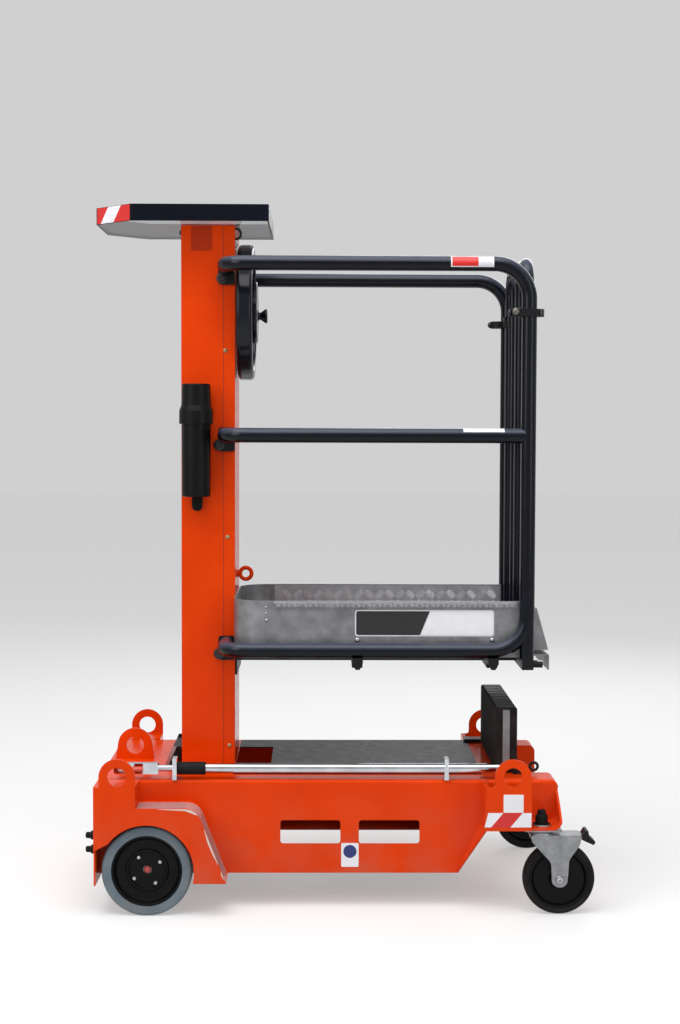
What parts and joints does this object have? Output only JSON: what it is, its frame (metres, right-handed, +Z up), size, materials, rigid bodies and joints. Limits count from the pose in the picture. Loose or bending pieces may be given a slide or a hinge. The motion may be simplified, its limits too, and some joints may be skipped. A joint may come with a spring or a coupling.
{
  "type": "vertical mast lift",
  "caption": "Push-around one-person lift: wheeled chassis, telescoping mast, railed platform with gate, tool tray and crank handwheel.",
  "frame": {"origin": "on the floor, below the centre of the outline", "axes": "+X towards the entry gate, +Y to the left side, +Z up"},
  "size_m": [1.4255, 0.84, 1.977],
  "materials": {
    "orange_paint": "gloss",
    "deck_paint": "satin",
    "rail_paint": "semi-gloss",
    "black_paint": "satin",
    "mast_aluminium": "brushed",
    "tread_aluminium": "mill",
    "nylon": "matte",
    "zinc": "zinc plated",
    "chrome": "polished",
    "black_rubber": "matte",
    "grey_tyre": "non-marking",
    "dark_tyre": "matte",
    "wheel_plastic": "moulded",
    "gloss_plastic": "gloss",
    "smoke_plastic": "smoke tint"
  },
  "bodies": {
    "chassis": {"chassis_frame": "orange_paint", "middle_lug": "orange_paint", "deck_cover": "deck_paint", "base_mast": "mast_aluminium", "base_collar": "nylon", "mast_foot": "black_paint", "rear_axle": "zinc", "rear_buffers": "black_rubber", "pole_tube": "chrome", "pole_grip": "black_rubber", "pole_fork": "chrome", "pole_clips": "chrome", "step_bracket": "black_paint", "wheel_cover_right": "orange_paint", "wheel_cover_left": "orange_paint", "castor_housing_right": "orange_paint", "castor_housing_left": "orange_paint", "front_lug_right": "orange_paint", "front_lug_left": "orange_paint", "castor_mount_right": "zinc", "castor_mount_left": "zinc", "castor_cap_right": "black_rubber", "castor_cap_left": "black_rubber"},
    "mid_mast": {"mid_mast": "mast_aluminium", "mid_collars": "nylon"},
    "platform": {"column_shell": "orange_paint", "column_front": "orange_paint", "column_collar": "nylon", "tray_floor": "smoke_plastic", "tray_rim": "gloss_plastic", "wheel_bearing": "black_paint", "document_tube": "wheel_plastic", "eye_bolt": "orange_paint", "rail_fittings": "black_paint", "platform_frame": "black_paint", "platform_floor": "tread_aluminium", "toe_boards": "tread_aluminium", "guard_rail_right": "rail_paint", "guard_rail_left": "rail_paint"},
    "handwheel": {"handwheel": "gloss_plastic", "wheel_knob": "gloss_plastic"},
    "step": {"step_block": "wheel_plastic", "step_trim": "tread_aluminium"},
    "gate_right": {"gate_frame_right": "rail_paint", "kick_plate_right": "tread_aluminium"},
    "rear_wheel_right": {"rear_tyre_right": "grey_tyre", "rear_hub_right": "wheel_plastic"},
    "castor_right": {"castor_fork_right": "zinc", "castor_brake_right": "black_paint"},
    "castor_wheel_right": {"castor_tyre_right": "dark_tyre", "castor_core_right": "wheel_plastic"},
    "gate_left": {"gate_frame_left": "rail_paint", "kick_plate_left": "tread_aluminium"},
    "rear_wheel_left": {"rear_tyre_left": "grey_tyre", "rear_hub_left": "wheel_plastic"},
    "castor_left": {"castor_fork_left": "zinc", "castor_brake_left": "black_paint"},
    "castor_wheel_left": {"castor_tyre_left": "dark_tyre", "castor_core_left": "wheel_plastic"}
  },
  "joints": [
    {"name": "mast_lift", "type": "slide", "parent": "chassis", "child": "mid_mast", "axis": [0, 0, 1], "range_m": [0, 0.725]},
    {"name": "platform_lift", "type": "slide", "parent": "mid_mast", "child": "platform", "axis": [0, 0, 1], "range_m": [0, 0.725]},
    {"name": "handwheel_spin", "type": "hinge", "parent": "platform", "child": "handwheel", "pos_m": [-0.26, 0, 1.689], "axis": [1, 0, 0], "continuous": true},
    {"name": "step_fold", "type": "hinge", "parent": "chassis", "child": "step", "pos_m": [0.521, 0, 0.376], "axis": [0, 1, 0], "range_deg": [0, 90]},
    {"name": "gate_swing_right", "type": "hinge", "parent": "platform", "child": "gate_right", "pos_m": [0.533, -0.215, 1.2], "axis": [0, 0, 1], "range_deg": [0, 85]},
    {"name": "rear_wheel_spin_right", "type": "hinge", "parent": "chassis", "child": "rear_wheel_right", "pos_m": [-0.531, -0.374, 0.125], "axis": [0, 1, 0], "continuous": true},
    {"name": "castor_swivel_right", "type": "hinge", "parent": "chassis", "child": "castor_right", "pos_m": [0.5645, -0.37, 0.22], "axis": [0, 0, 1], "continuous": true},
    {"name": "castor_wheel_spin_right", "type": "hinge", "parent": "castor_right", "child": "castor_wheel_right", "pos_m": [0.6125, -0.37, 0.1], "axis": [0, 1, 0], "continuous": true},
    {"name": "gate_swing_left", "type": "hinge", "parent": "platform", "child": "gate_left", "pos_m": [0.533, 0.215, 1.2], "axis": [0, 0, -1], "range_deg": [0, 85]},
    {"name": "rear_wheel_spin_left", "type": "hinge", "parent": "chassis", "child": "rear_wheel_left", "pos_m": [-0.531, 0.374, 0.125], "axis": [0, 1, 0], "continuous": true},
    {"name": "castor_swivel_left", "type": "hinge", "parent": "chassis", "child": "castor_left", "pos_m": [0.5645, 0.37, 0.22], "axis": [0, 0, 1], "continuous": true},
    {"name": "castor_wheel_spin_left", "type": "hinge", "parent": "castor_left", "child": "castor_wheel_left", "pos_m": [0.6125, 0.37, 0.1], "axis": [0, 1, 0], "continuous": true}
  ],
  "couplings": [
    {"joint": "platform_lift", "follows": "mast_lift", "ratio": 1}
  ]
}
